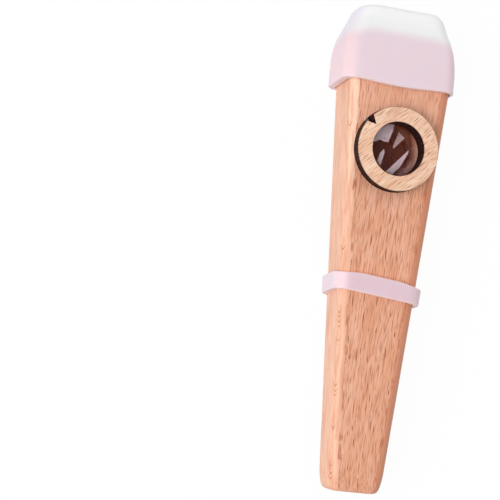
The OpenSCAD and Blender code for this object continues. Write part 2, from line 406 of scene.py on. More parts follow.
def soften(piece, width=0.0, segments=2):
    """Smooth shading with crisp creases, and a small bevel on the creases if a width is given."""
    shade_smooth(piece)
    if width:
        bevel = piece.modifiers.new("Edges", "BEVEL")
        bevel.width = width
        bevel.segments = segments
        bevel.limit_method = "ANGLE"
        bevel.angle_limit = SMOOTH_LIMIT
        bevel.use_clamp_overlap = True
        apply_modifiers(piece)
    piece.data.set_sharp_from_angle(angle=SMOOTH_LIMIT)
    weighted = piece.modifiers.new("Even faces", "WEIGHTED_NORMAL")
    weighted.keep_sharp = True
    weighted.weight = FACE_WEIGHT
    apply_modifiers(piece)


def hand_over(piece, node, body):
    """Puts a piece in the place of its CAD node."""
    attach(piece, body)
    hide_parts(node)


def shade_smooth(piece):
    """Smooth shading all over."""
    piece.data.polygons.foreach_set("use_smooth", [True] * len(piece.data.polygons))


def on_face():
    """Places a shape on the wood's face at the membrane's centre, with +Z square to the face."""
    wood = settings("wood")
    rise = (wood.mouth_d - wood.tail_d) / BODY_LEN
    middle = (FILM_LOW + FILM_HIGH) / 2
    film_middle = settings("membrane").film_t / 2
    tilt = Matrix.Rotation(math.atan(rise), 4, "X")
    return Matrix.Translation(middle) @ tilt @ Matrix.Translation((0, 0, wood.recess_depth - film_middle))


def move(bm, matrix):
    """Moves a whole bmesh and returns it."""
    bmesh.ops.transform(bm, matrix=matrix, verts=bm.verts[:])
    return bm


def wood_section(v, gap=0.0):
    """Section of the wood at a distance v from the narrow end, grown by a gap on every side."""
    wood = settings("wood")
    end_in = (arc_in(v - (BODY_LEN - wood.shoulder_len), wood.shoulder_len, wood.shoulder_drop)
              + arc_in(wood.taper_len - v, wood.taper_len, wood.taper_drop)
              + edge_in(BODY_LEN - v, wood.end_edge_r))
    side_in = end_in + edge_in(v, wood.corner_r) - gap
    face_in = end_in + edge_in(v, wood.end_edge_r) - gap
    half_w = (wood.tail_w + (wood.mouth_w - wood.tail_w) * v / BODY_LEN) / 2 - side_in
    face_z = BODY_LOW.z + wood.tail_d + (wood.mouth_d - wood.tail_d) * v / BODY_LEN
    return Section(BODY_LOW.y + v, -half_w, half_w, BODY_LOW.z + face_in, face_z - face_in, wood.edge_r + gap)


# Shader building


class Wire:
    """An output of a shader node. Reckoning with it adds Math nodes to its tree."""

    def __init__(self, socket):
        self.socket = socket
        self.tree = socket.id_data

    def beside(self, name):
        """Another output of the same node."""
        return Wire(self.socket.node.outputs[name])

    def __add__(self, other):
        return maths("ADD", self, other)

    def __sub__(self, other):
        return maths("SUBTRACT", self, other)

    def __mul__(self, other):
        return maths("MULTIPLY", self, other)

    def __truediv__(self, other):
        return maths("DIVIDE", self, other)

    def __abs__(self):
        return maths("ABSOLUTE", self)


def connect(value, socket):
    """Feeds a socket with a wire, or sets it to a number, a vector or a colour."""
    if isinstance(value, Wire):
        value.tree.links.new(value.socket, socket)
    elif socket.type == "RGBA":
        socket.default_value = (*value[:3], 1.0)
    else:
        socket.default_value = value


def node(tree, kind, inputs=None, output=0, **values):
    """Adds a node and returns one of its outputs."""
    made = tree.nodes.new(kind)
    for name, value in values.items():
        setattr(made, name, value)
    for key, value in (inputs or {}).items():
        connect(value, made.inputs[key])
    return Wire(made.outputs[output])


def maths(operation, first, *others, clamp=False):
    """What a Math node makes of a wire and other wires or numbers."""
    inputs = dict(enumerate((first, *others)))
    return node(first.tree, "ShaderNodeMath", inputs, operation=operation, use_clamp=clamp)


def vector_maths(operation, first, second):
    """What a Vector Math node makes of a wire and another wire or a vector."""
    return node(first.tree, "ShaderNodeVectorMath", {0: first, 1: second}, operation=operation)


def scaled(place, factors):
    """A place with each of its coordinates multiplied by a factor of its own."""
    return vector_maths("MULTIPLY", place, factors)


def parts(vector, kind="ShaderNodeSeparateXYZ"):
    """The three parts of a vector or a colour."""
    first = node(vector.tree, kind, {0: vector})
    return [Wire(socket) for socket in first.socket.node.outputs]


def smooth(value, low, high, to_low=0.0, to_high=1.0):
    """A wire smoothly mapped from one range to another."""
    inputs = {"Value": value, "From Min": low, "From Max": high, "To Min": to_low, "To Max": to_high}
    return node(value.tree, "ShaderNodeMapRange", inputs, interpolation_type="SMOOTHSTEP")


def blend(factor, first, second):
    """A colour between two colours."""
    return node(factor.tree, "ShaderNodeMix", {0: factor, 6: first, 7: second}, output=2, data_type="RGBA")


def noise(place, scale=1.0, roughness=0.5):
    """A soft noise with two octaves of detail."""
    inputs = {"Vector": place, "Scale": scale, "Detail": 2.0, "Roughness": roughness}
    return node(place.tree, "ShaderNodeTexNoise", inputs)


def new_group(name, colours, values, outputs):
    """A shader node group on a vector, colours and values, whose first output is a colour."""
    tree = bpy.data.node_groups.new(name, "ShaderNodeTree")
    tree.interface.new_socket("Vector", in_out="INPUT", socket_type="NodeSocketVector")
    for socket in colours:
        tree.interface.new_socket(socket, in_out="INPUT", socket_type="NodeSocketColor")
    for socket, default in values.items():
        made = tree.interface.new_socket(socket, in_out="INPUT", socket_type="NodeSocketFloat")
        made.default_value = default
    tree.interface.new_socket(outputs[0], in_out="OUTPUT", socket_type="NodeSocketColor")
    for socket in outputs[1:]:
        tree.interface.new_socket(socket, in_out="OUTPUT", socket_type="NodeSocketFloat")
    given = {socket.name: Wire(socket) for socket in tree.nodes.new("NodeGroupInput").outputs}
    return tree, given, tree.nodes.new("NodeGroupOutput").inputs


def use_group(name, make, inputs):
    """A node of the shader node group of that name, which is built on its first use."""
    shared = bpy.data.node_groups.get(name) or make(name)
    return node(inputs["Vector"].tree, "ShaderNodeGroup", inputs, node_tree=shared)


class Finish:
    """A material in the making: its coordinates and its Principled shader, with that shader's constants."""

    def __init__(self, name, **constants):
        self.material = bpy.data.materials.new(name)
        self.material.use_nodes = True
        self.tree = self.material.node_tree
        self.shader = self.tree.nodes["Principled BSDF"]
        self.place = node(self.tree, "ShaderNodeTexCoord", output="Object")
        self.normal = self.place.beside("Normal")
        for socket, value in constants.items():
            self.shader.inputs[socket.replace("_", " ")].default_value = value

    def feed(self, socket, wire):
        """Links a wire to one of the shader's sockets."""
        connect(wire, self.shader.inputs[socket])

    def bump(self, height, depth, strength=1.0):
        """Feeds a height into the shader's normal."""
        inputs = {"Height": height, "Distance": depth, "Strength": strength}
        self.feed("Normal", node(self.tree, "ShaderNodeBump", inputs))


PER_MILLIMETRE = (1 / MM, 1 / MM, 1 / MM)
# The grain wanders: how finely, per millimetre, and how far, in millimetres
DRIFT = (0.10, 0.045, 0.10)
DRIFT_REACH = (1.6, 0.0, 1.6)
# How fine each pattern of the wood is across the grain and along it, per millimetre
BROAD_BANDS = (0.32, 0.03)
DARK_LINES = (2.6, 0.03)
FIBRES = (3.7, 0.12)
THIN_FIBRES = (4.6, 0.17)
SEAM_BREAKS = (0.7, 0.30)
EDGE_STRANDS = (1.4, 0.16)
SIDE_LINES = (1.5, 0.035)
# Flecks in millimetres: the width and length of the cell that each has to itself, and half its own width
FLECKS = ((1.05, 5.2), 0.15)
FINE_FLECKS = ((0.7, 5.2), 0.12)
FINE_FLECK_STRENGTH = 0.65
FLECK_RUN = 5.2
RING_FLECK_RUN = 4.8


def streaks(place, fineness):
    """A noise drawn out along Y, given its fineness across and along the grain."""
    across, along = fineness
    return noise(scaled(place, (across, along, across)), roughness=0.6)


def spindles(place, cell, half_width, half_run):
    """Thin spindles in rows along Y, one in each cell of that width and length."""
    x, y, z = parts(place)
    across = (x + z) / cell[0]
    row = maths("FLOOR", across)
    start = node(place.tree, "ShaderNodeTexWhiteNoise", {"W": row}, "Value", noise_dimensions="1D")
    along = y / cell[1] + start
    spot = node(place.tree, "ShaderNodeCombineXYZ", {0: row, 1: maths("FLOOR", along)})
    dice = node(place.tree, "ShaderNodeTexWhiteNoise", {"Vector": spot}, "Color", noise_dimensions="2D")
    long, strong, aside = parts(dice, "ShaderNodeSeparateColor")
    sideways = (maths("FRACT", across) - (aside * 0.5 + 0.25)) * (cell[0] / half_width)
    lengthways = (maths("FRACT", along) - 0.5) * cell[1] / (half_run * (long * 0.65 + 0.35))
    distance = maths("SQRT", sideways * sideways + lengthways * lengthways)
    return smooth(distance, 1.1, 0.4) * (strong * strong * 0.8 + 0.2)


def make_grain_group(name):
    """Beech with its grain along Y: broad bands, fibres and short flecks."""
    tree, given, result = new_group(
        name, ("Main", "Pale", "Dark", "Fleck"),
        {"Fleck Run": FLECK_RUN, "Fleck Strength": 1.0, "Fibre Strength": 1.0, "Line Strength": 0.3},
        ("Color", "Height", "Breaks"))
    place = scaled(given["Vector"], PER_MILLIMETRE)
    drift = vector_maths("SUBTRACT", noise(scaled(place, DRIFT)).beside("Color"), (0.5, 0.5, 0.5))
    place = vector_maths("ADD", place, scaled(drift, DRIFT_REACH))
    fibre = streaks(place, FIBRES)
    thin = streaks(place, THIN_FIBRES)
    half_run = given["Fleck Run"] * 0.5
    fleck = maths("MAXIMUM", spindles(place, *FLECKS, half_run),
                  spindles(place, *FINE_FLECKS, half_run) * FINE_FLECK_STRENGTH)
    fleck = maths("MULTIPLY", fleck, given["Fleck Strength"], clamp=True)

    tone = blend(smooth(streaks(place, BROAD_BANDS), 0.32, 0.68), given["Pale"], given["Main"])
    dark_line = smooth(streaks(place, DARK_LINES), 0.48, 0.72) * given["Line Strength"]
    tone = blend(dark_line, tone, given["Dark"])
    tone = blend(smooth(fibre, 0.48, 0.64) * given["Fibre Strength"], tone, given["Dark"])
    tone = blend(smooth(thin, 0.50, 0.32, 0.0, 0.7) * given["Fibre Strength"], tone, given["Pale"])
    connect(blend(fleck, tone, given["Fleck"]), result["Color"])
    connect(fibre * 0.5 + thin * 0.3 - fleck * 0.8, result["Height"])
    connect(streaks(place, SEAM_BREAKS), result["Breaks"])
    return tree


def make_scorch_group(name):
    """The uneven brown and black of a laser cut wall, striped along the beam."""
    tree, given, result = new_group(name, ("Black", "Brown", "Wood"), {"Burn": 1.0}, ("Color", "Height"))
    stripes = noise(scaled(scaled(given["Vector"], PER_MILLIMETRE), (3.2, 3.2, 0.25)))
    burnt = blend(smooth(stripes, 0.48, 0.72, 0.0, 0.6), given["Black"], given["Brown"])
    edge = given["Burn"] * (stripes * 0.9 + 0.55)
    brown = blend(smooth(edge, 0.12, 0.45), given["Wood"], given["Brown"])
    connect(blend(smooth(edge, 0.35, 0.7), brown, burnt), result["Color"])
    connect(stripes, result["Height"])
    return tree


def make_silicone_group(name):
    """Milky silicone that takes on the colour of the wood behind it, with painted shade on left-facing plain
    silicone and a painted glow on its cut edges over the wood.
    """
    tree, given, result = new_group(
        name, ("Plain", "Side", "Tinted", "Side Tinted", "Warm", "Rim"),
        {"Over Wood": 1.0, "Over Edge": 0.0, "At Side": 0.0, "Rim Glow": 0.0}, ("Color", "Height", "Roughness"))
    place = scaled(given["Vector"], PER_MILLIMETRE)
    cloud = noise(scaled(place, (0.45, 0.12, 0.45)))
    dust = noise(place, scale=5.0)
    over = blend(given["At Side"], given["Tinted"], given["Side Tinted"])
    over = blend(given["Over Edge"], over, given["Warm"])
    over = blend(smooth(cloud, 0.35, 0.7, 0.0, 0.22), over, given["Warm"])
    # Painted glow: the cut edges over the wood turn pale peach
    over = blend(given["Rim Glow"], over, given["Rim"])
    # Painted shade: left-facing plain silicone is darker
    plain = blend(given["At Side"], given["Plain"], given["Side"])
    connect(blend(given["Over Wood"], plain, over), result["Color"])
    connect(dust, result["Height"])
    connect(smooth(dust, 0.3, 0.7, 0.40, 0.48), result["Roughness"])
    return tree


def grain(place, tones, fleck, fibre=1.0, line=0.3, fleck_run=FLECK_RUN):
    """Beech grain in four tones: main, pale, dark and fleck."""
    inputs = {"Vector": place, "Fleck Run": fleck_run, "Fleck Strength": fleck, "Fibre Strength": fibre,
              "Line Strength": line, **dict(zip(("Main", "Pale", "Dark", "Fleck"), tones))}
    return use_group("Beech Grain", make_grain_group, inputs)


def beech_tones():
    """The grain's four tones for the body."""
    colours = settings("colours")
    return colours.beech, colours.beech_pale, colours.beech_dark, colours.beech_fleck


def turned(place, turn):
    """A place turned by an angle around Z."""
    return node(place.tree, "ShaderNodeMapping", {"Vector": place, "Rotation": (0.0, 0.0, turn)})


def wood_edge_distance(x, y):
    """How far a point lies from the body's nearer side, measured across the body."""
    wood = settings("wood")
    spread = (wood.mouth_w - wood.tail_w) / 2 / BODY_LEN
    return y * spread + (wood.tail_w / 2 - spread * BODY_LOW.y) - abs(x)


WOOD_BUMP = 0.05 * MM
RING_BUMP = 0.03 * MM
SILICONE_BUMP = 0.02 * MM
CARD_BUMP = 0.01 * MM
BEECH_TURN = math.radians(2.5)
RING_TURN = math.radians(46)
RING_FINENESS = 1.25
# How far the tones of the beech reach in from the body's side, and along it towards the cap: the painted
# shade by the right edge, the painted highlight on the left edge and the painted light on the face near the
# cap
STRAND_REACH = 2.4 * MM
SIDE_REACH = 0.9 * MM
RIGHT_REACH = 4 * MM
RIGHT_SHADE_REACH = (4.5 * MM, 1.8 * MM)
HIGHLIGHT_START = (0.2 * MM, 0.8 * MM)
HIGHLIGHT_FADE = 0.7 * MM
HIGHLIGHT_ALONG = (0.0, 30 * MM)
FACE_LIGHT_ALONG = (24 * MM, 40 * MM)
SEAM_HALF_WIDTH = 0.3 * MM
SEAM_CORE = 0.05 * MM
# The burnt rims of the ring's flat sides
OUTER_STAIN = 0.45 * MM
INNER_STAIN = 0.35 * MM
STAIN_STRENGTH = 0.32
# Painted light: the direction and the depth of the lit patch on the chamber wall
CHAMBER_LIT_ANGLE = math.radians(-32)
CHAMBER_LIT_DEPTH = 9 * MM
AIR_WAY_SPECULAR = 0.2
AIR_WAY_ROUGHNESS = 0.7
# How the wood's end shows through the cap: where its tint fades out, and how its corners are rounded
WOOD_END_FADE = (2.5 * MM, -1.7 * MM)
SHOULDER_SPAN = (9 * MM, 15 * MM)
SHOULDER_DROP = 1.4 * MM
# Where the painted glow on the cut edges fades out past the wood's sides
RIM_FADE = (-0.9 * MM, -0.2 * MM)
SCATTER = 1.5 * MM
FILM_HAZE_SCALE = 700.0
CARD_MOTTLE_SCALE = 2500.0
# Nested cups in the rounded edges, in millimetres: where they lie along the body and how far they reach
CUP_PLACES = ((31.0, 1.0), (-2.5, 1.6), (-21.0, 3.4), (-27.6, 1.0), (-40.0, 2.4), (-50.5, 0.8), (-61.5, 3.2))
CUP_PITCH = 1.3
CUP_DEPTH = 3.4
CUP_FRONTAL = -0.25
CUP_STRENGTH = 0.8
CUP_SHIFT_RIGHT = 14.5 * MM
CUP_SHIFT_BACK = 23 * MM


def cup_marks(finish):
    """Where the rounded edges cut the growth rings: nested cups, open to the mouth end, a few at a time."""
    x, y, z = parts(finish.place)
    facing_x, _, facing_z = parts(finish.normal)
    shift = (maths("GREATER_THAN", x, 0.0) * CUP_SHIFT_RIGHT
             + maths("LESS_THAN", z, (BODY_LOW.z + BODY_HIGH.z) / 2) * CUP_SHIFT_BACK)
    along = (y + shift) * (1 / MM)
    around = facing_z * facing_z - facing_x * facing_x - CUP_FRONTAL
    risen = along - around * around * CUP_DEPTH
    wander = node(finish.tree, "ShaderNodeTexNoise", {"W": along * 0.31, "Scale": 1.0, "Detail": 2.0},
                  noise_dimensions="1D")
    nested = maths("FRACT", wander * 1.5 + risen / CUP_PITCH)
    mark = smooth(nested, 0.50, 0.70) * smooth(nested, 0.94, 0.76) * smooth(abs(around), 0.70, 0.45)
    near = [smooth(abs(risen - middle), reach, 0.6 * reach) for middle, reach in CUP_PLACES]
    shown = near[0]
    for other in near[1:]:
        shown = maths("MAXIMUM", shown, other)
    return mark * shown * CUP_STRENGTH


def beech_material():
    """Sanded and oiled beech: flecks on the face and the back, plain lines on the sides, painted shade along
    the right edge, and painted light on the left edge and on the face near the cap.
    """
    colours = settings("colours")
    edge_r = settings("wood").edge_r
    finish = Finish("Oiled Beech", Specular_IOR_Level=0.42)
    x, y, _ = parts(finish.place)
    facing_y = parts(finish.normal)[1]
    fine_place = scaled(finish.place, PER_MILLIMETRE)
    from_side = wood_edge_distance(x, y) + (streaks(fine_place, EDGE_STRANDS) - 0.5) * STRAND_REACH
    end_grain = smooth(abs(facing_y), 0.6, 0.9)
    flat = maths("MAXIMUM", smooth(from_side, edge_r - 0.6 * MM, edge_r + 0.1 * MM), end_grain)
    side = smooth(from_side, SIDE_REACH, 0.0)
    right = smooth(x, 0.0, RIGHT_REACH)
    made = grain(turned(finish.place, BEECH_TURN), beech_tones(), fleck=flat * 0.94 + 0.06 - end_grain * 0.9,
                 fibre=flat * 0.35 + 0.65, line=smooth(side, 0.0, 1.0, 0.30, 0.85))
    breaks = made.beside("Breaks")
    height = made.beside("Height")

    # The rounded edges are smoother. The left one is paler, with a painted highlight towards the cap; painted
    # shade darkens the right one and the face beside it
    edge_light_and_shade = blend(right, blend(side, colours.beech_edge_and_highlight, colours.beech_side_and_highlight), colours.beech_right_shade)
    tone = blend(smooth(flat, 0.0, 1.0, 0.5, 0.0), made, edge_light_and_shade)
    tone = blend(right * smooth(from_side, *RIGHT_SHADE_REACH, 0.0, 0.45), tone, colours.beech_right_shade)
    # Painted highlight: a pale stripe on the left rounded edge that grows stronger towards the cap
    painted_highlight = (smooth(y, *HIGHLIGHT_ALONG, 0.0, 0.85) * smooth(from_side, *HIGHLIGHT_START)
              * smooth(from_side, edge_r, edge_r - HIGHLIGHT_FADE) * smooth(right, 1.0, 0.0))
    tone = blend(painted_highlight, tone, colours.beech_side_and_highlight)
    # Painted light: the face grows paler towards the cap, against the shadow that the cap casts
    tone = blend(smooth(y, *FACE_LIGHT_ALONG, 0.0, 0.32) * flat, tone, colours.beech_pale)
    lines = smooth(streaks(fine_place, SIDE_LINES), 0.44, 0.64, 0.0, 0.48) * smooth(flat, 1.0, 0.0)
    tone = blend(lines, tone, colours.beech_dark)
    tone = blend(cup_marks(finish), tone, colours.beech_cup)

    # A warm seam runs along each long edge where the face begins
    seam = smooth(abs(from_side - edge_r), SEAM_HALF_WIDTH, SEAM_CORE) * smooth(breaks, 0.42, 0.58, 0.0, 0.75)
    finish.feed("Base Color", blend(seam, tone, colours.beech_cup))
    finish.feed("Roughness", smooth(height, 0.0, 0.8, 0.48, 0.36))
    finish.bump(height, WOOD_BUMP, 0.8)
    return finish.material


def chamber_material():
    """Wood of the sound chamber: a painted patch of light makes its upper wall pale, and painted shade makes
    it dark deep inside.
    """
    colours = settings("colours")
    wood = settings("wood")
    finish = Finish("Chamber Beech", Specular_IOR_Level=AIR_WAY_SPECULAR, Roughness=AIR_WAY_ROUGHNESS)
    x, y, z = parts(finish.place)
    middle = on_face().translation
    top = middle.z - wood.recess_depth
    lit_x = math.cos(CHAMBER_LIT_ANGLE) / wood.chamber_r
    lit_y = math.sin(CHAMBER_LIT_ANGLE) / wood.chamber_r
    toward = x * lit_x + y * lit_y - middle.y * lit_y
    tones = (colours.chamber, colours.chamber, colours.scorch_brown, colours.scorch)
    made = grain(finish.place, tones, fleck=0.3)
    # Painted light: near its top the wall is pale on the lower right, where the lamp reaches through the
    # hole; elsewhere painted shade keeps it dark
    upper = smooth(z, top - CHAMBER_LIT_DEPTH, top) * smooth(toward, 0.0, 0.8)
    finish.feed("Base Color", blend(upper, made, colours.chamber_wall_lit))
    finish.bump(made.beside("Height"), WOOD_BUMP)
    return finish.material


def bored_material(name, dark_y, light_y):
    """Wood inside a drilled or milled air way, darkened by painted shade towards the sound chamber."""
    finish = Finish(name, Specular_IOR_Level=AIR_WAY_SPECULAR, Roughness=AIR_WAY_ROUGHNESS)
    made = grain(finish.place, beech_tones(), fleck=0.4)
    # Painted shade: darker deeper in, towards the chamber
    deep = smooth(parts(finish.place)[1], light_y, dark_y)
    finish.feed("Base Color", blend(deep, made, settings("colours").chamber))
    finish.bump(made.beside("Height"), WOOD_BUMP)
    return finish.material


def ring_material():
    """Pale beech with the grain askew, and burnt walls where the laser went through."""
    colours = settings("colours")
    size = settings("membrane")
    finish = Finish("Laser Cut Ring", Specular_IOR_Level=0.2)
    fine_place = scaled(turned(finish.place, RING_TURN), [RING_FINENESS] * 3)
    tones = (colours.ring_wood, colours.ring_pale, colours.ring_dark, colours.ring_fleck)
    made = grain(fine_place, tones, fleck=1.0, fibre=0.75, fleck_run=RING_FLECK_RUN)
    top = size.film_t + size.carrier_t + size.ring_t - settings("wood").recess_depth
    flat_place = scaled(vector_maths("SUBTRACT", finish.place, on_face() @ Vector((0, 0, top))), (1, 1, 0))
    from_axis = node(finish.tree, "ShaderNodeVectorMath", {0: flat_place}, "Value", operation="LENGTH")
    stain = maths("MAXIMUM", smooth(from_axis, size.ring_r - OUTER_STAIN, size.ring_r),
                  smooth(from_axis, size.hole_r + INNER_STAIN, size.hole_r))
    walls = node(finish.tree, "ShaderNodeAttribute", output="Fac", attribute_name="burn")
    burn = maths("MAXIMUM", walls, stain * STAIN_STRENGTH)
    scorch = use_group("Scorch", make_scorch_group, {"Vector": finish.place, "Burn": burn, "Wood": made,
                                                     "Black": colours.scorch, "Brown": colours.scorch_brown})
    finish.feed("Base Color", scorch)
    finish.feed("Roughness", smooth(burn, 0.2, 0.8, 0.5, 0.82))
    finish.bump(made.beside("Height") + scorch.beside("Height"), RING_BUMP, 0.8)
    return finish.material


def silicone_material(name, tint, side_tint, wood_end=None):
    """Milky silicone that takes a tint over the wood. It turns white past the wood's end, if one is given."""
    colours = settings("colours")
    finish = Finish(name, Specular_IOR_Level=0.4, Subsurface_Weight=0.4, Subsurface_Radius=(1.0, 0.8, 0.8),
                    Subsurface_Scale=SCATTER)
    x, y, _ = parts(finish.place)
    facing_x, facing_y, facing_z = parts(finish.normal)
    over_wood = 1.0
    if wood_end is not None:
        past_end = y + smooth(abs(x), *SHOULDER_SPAN, 0.0, SHOULDER_DROP) - wood_end
        over_wood = smooth(past_end, *WOOD_END_FADE)
    # Painted glow on cut edges that face along the body, over the wood
    rim_glow = smooth(abs(facing_y), 0.35, 0.9) * smooth(wood_edge_distance(x, y), *RIM_FADE)
    made = use_group("Silicone", make_silicone_group, {
        "Vector": finish.place,
        "Over Wood": over_wood,
        "Over Edge": smooth(abs(facing_x) * abs(facing_z), 0.08, 0.45, 0.0, 0.6),
        # Left-facing: painted shade where the silicone is plain; over the wood it takes the tint of the paler
        # side
        "At Side": smooth(facing_x, -0.3, -0.9),
        "Rim Glow": rim_glow,
        "Plain": colours.silicone,
        "Side": colours.silicone_left_shade,
        "Tinted": tint,
        "Side Tinted": side_tint,
        "Warm": colours.silicone_warm,
        "Rim": colours.silicone_rim_glow,
    })
    finish.feed("Base Color", made)
    finish.feed("Roughness", made.beside("Roughness"))
    finish.bump(made.beside("Height"), SILICONE_BUMP, 0.5)
    return finish.material


def film_material():
    """Clear film with painted reflections where its folds would catch the light."""
    colours = settings("colours")
    finish = Finish("Wrinkled Film", Roughness=0.12, Specular_IOR_Level=0.5)
    # Painted reflection: where this attribute is high the film turns opaque and takes the sheen colour
    painted_glare = node(finish.tree, "ShaderNodeAttribute", output="Fac", attribute_name="painted_glare")
    lit = painted_glare * smooth(noise(finish.place, scale=FILM_HAZE_SCALE), 0.2, 0.8, 0.85, 1.0)
    finish.feed("Base Color", blend(painted_glare, colours.film_clear, colours.film_painted_sheen))
    finish.feed("Alpha", smooth(lit, 0.0, 1.0, 0.10, 0.86))
    return finish.material


def carrier_material():
    """Matte white card."""
    white = settings("colours").carrier
    finish = Finish("Carrier Card", Roughness=0.6, Specular_IOR_Level=0.3)
    mottle = noise(finish.place, scale=CARD_MOTTLE_SCALE)
    finish.feed("Base Color", blend(mottle, [0.9 * value for value in white], white))
    finish.bump(mottle, CARD_BUMP)
    return finish.material


def floor_material():
    """Pale floor that keeps a faint shadow of the object."""
    stage = settings("stage")
    pale = settings("colours").floor
    finish = Finish("Pale Floor", Roughness=0.9, Specular_IOR_Level=0.0)
    to_camera = node(finish.tree, "ShaderNodeLightPath", output="Is Camera Ray")
    finish.feed("Base Color", blend(to_camera, [stage.floor_bounce * value for value in pale], pale))
    glow = node(finish.tree, "ShaderNodeEmission", {"Color": (1, 1, 1), "Strength": 1.0})
    shown = maths("MAXIMUM", to_camera, to_camera.beside("Is Glossy Ray")) * stage.floor_glow
    mixed = node(finish.tree, "ShaderNodeMixShader", {0: shown, 1: Wire(finish.shader.outputs[0]), 2: glow})
    connect(mixed, finish.tree.nodes["Material Output"].inputs["Surface"])
    return finish.material


# Pieces

SLOT_ROUNDNESS = 0.999


def body_stations():
    """Distances from the narrow end at which the wood gets a section."""
    wood = settings("wood")
    shoulder = BODY_LEN - wood.shoulder_len
    return (edge_stations(wood.end_edge_r)
            + [u for u in edge_stations(wood.corner_r) if u > wood.end_edge_r]
            + steps(wood.corner_r, wood.taper_len, ARC_STEPS)
            + [shoulder] + steps(shoulder, BODY_LEN - wood.end_edge_r, ARC_STEPS)
            + [BODY_LEN - u for u in reversed(edge_stations(wood.end_edge_r)[:-1])])


def slot_cutter():
    """The slot in the mouth end. Its round sides are nearly half circles, so that it can be lofted."""
    wood = settings("wood")
    middle_z = BODY_LOW.z + wood.mouth_d / 2
    half_w = wood.slot_w / 2
    half_h = wood.slot_h / 2
    start = (FILM_LOW.y + FILM_HIGH.y) / 2
    return loft([Section(y, -half_w, half_w, middle_z - half_h, middle_z + half_h, half_h * SLOT_ROUNDNESS)
                 for y in (start, BODY_HIGH.y + OVERRUN)])


class KAZOO_OT_body(bpy.types.Operator):
    """Add the tapered beech body with its air ways"""

    bl_idname = "kazoo.body"
    bl_label = "Wooden Body"

    def execute(self, context):
        wood = settings("wood")
        block = loft([wood_section(v) for v in body_stations()])
        piece = finish_object("beech_body", block, beech_material())
        middle = on_face().translation
        recess = bored_material("Recess Beech", BODY_LOW.y, BODY_LOW.y)
        slot = bored_material("Slotted Beech", middle.y, middle.y + 2 * wood.chamber_r)
        bore = bored_material("Bored Beech", middle.y, middle.y - 2 * wood.chamber_r)
        chamber = chamber_material()
        recess_r = settings("membrane").ring_r + wood.recess_gap
        chamber_depth = middle.z - BODY_LOW.z - wood.chamber_floor
        bore_z = BODY_LOW.z + wood.tail_d / 2
        bore_place = Matrix.Translation((0, BODY_LOW.y, bore_z)) @ Matrix.Rotation(-math.pi / 2, 4, "X")
        chamfered_r = wood.bore_r + wood.bore_chamfer
        cut(piece,
            (move(drum(recess_r, recess_r, -wood.recess_depth, OVERRUN), on_face()), recess),
            (move(drum(wood.chamber_r, wood.chamber_r, -chamber_depth, 0), on_face()), chamber),
            (slot_cutter(), slot),
            (move(drum(wood.bore_r, wood.bore_r, -OVERRUN, middle.y - BODY_LOW.y), bore_place), bore),
            (move(drum(chamfered_r + OVERRUN, wood.bore_r, -OVERRUN, wood.bore_chamfer), bore_place), bore))
        soften(piece)
        hand_over(piece, "body", "kazoo_body")
        return {"FINISHED"}


def mark_burn(piece):
    """Writes how burnt each face is: the laser burns the walls and not the flat sides."""
    up = on_face().to_3x3() @ Vector((0, 0, 1))
    burn = piece.data.attributes.new("burn", "FLOAT", "FACE")
    burn.data.foreach_set("value", [1 - abs(face.normal.dot(up)) for face in piece.data.polygons])


class KAZOO_OT_ring(bpy.types.Operator):
    """Add the laser cut retaining ring with its prying notch"""

    bl_idname = "kazoo.ring"
    bl_label = "Retaining Ring"

    def execute(self, context):
        size = settings("membrane")
        low = size.film_t + size.carrier_t - settings("wood").recess_depth
        material = ring_material()
        disc = washer(size.hole_r, size.ring_r, low, low + size.ring_t)
        piece = finish_object("retaining_ring_wood", disc, material)
        notch = bmesh.new()
        bmesh.ops.create_circle(notch, cap_ends=True, segments=3, radius=1)
        outside = size.ring_r + size.notch_depth
        corners = ((size.ring_r - size.notch_depth, 0), (outside, size.notch_w), (outside, -size.notch_w))
        for vert, (x, y) in zip(notch.verts, corners):
            vert.co = (x, y, low - OVERRUN)
        grown = bmesh.ops.extrude_face_region(notch, geom=notch.faces[:])["geom"]
        top = [item for item in grown if isinstance(item, bmesh.types.BMVert)]
        bmesh.ops.translate(notch, verts=top, vec=(0, 0, size.ring_t + 2 * OVERRUN))
        bmesh.ops.recalc_face_normals(notch, faces=notch.faces[:])
        cut(piece, (move(notch, Matrix.Rotation(size.notch_angle, 4, "Z")), material))
        piece.data.transform(on_face())
        soften(piece, size.ring_edge)
        mark_burn(piece)
        hand_over(piece, "retaining_ring", "ring")
        return {"FINISHED"}


# Folds of the film, seen from the front and measured from its centre: start, end, height and half width
FOLDS = (
    ((-5.4, 1.9), (-1.6, 2.1), 0.28, 1.4),
    ((-1.5, 2.2), (-0.2, 6.6), 0.34, 1.3),
    ((0.1, 0.6), (3.2, 4.2), 0.32, 1.3),
    ((-3.2, -4.2), (-2.1, 0.0), 0.26, 1.1),
    ((-0.9, -6.0), (4.6, 0.8), 0.30, 1.5),
)
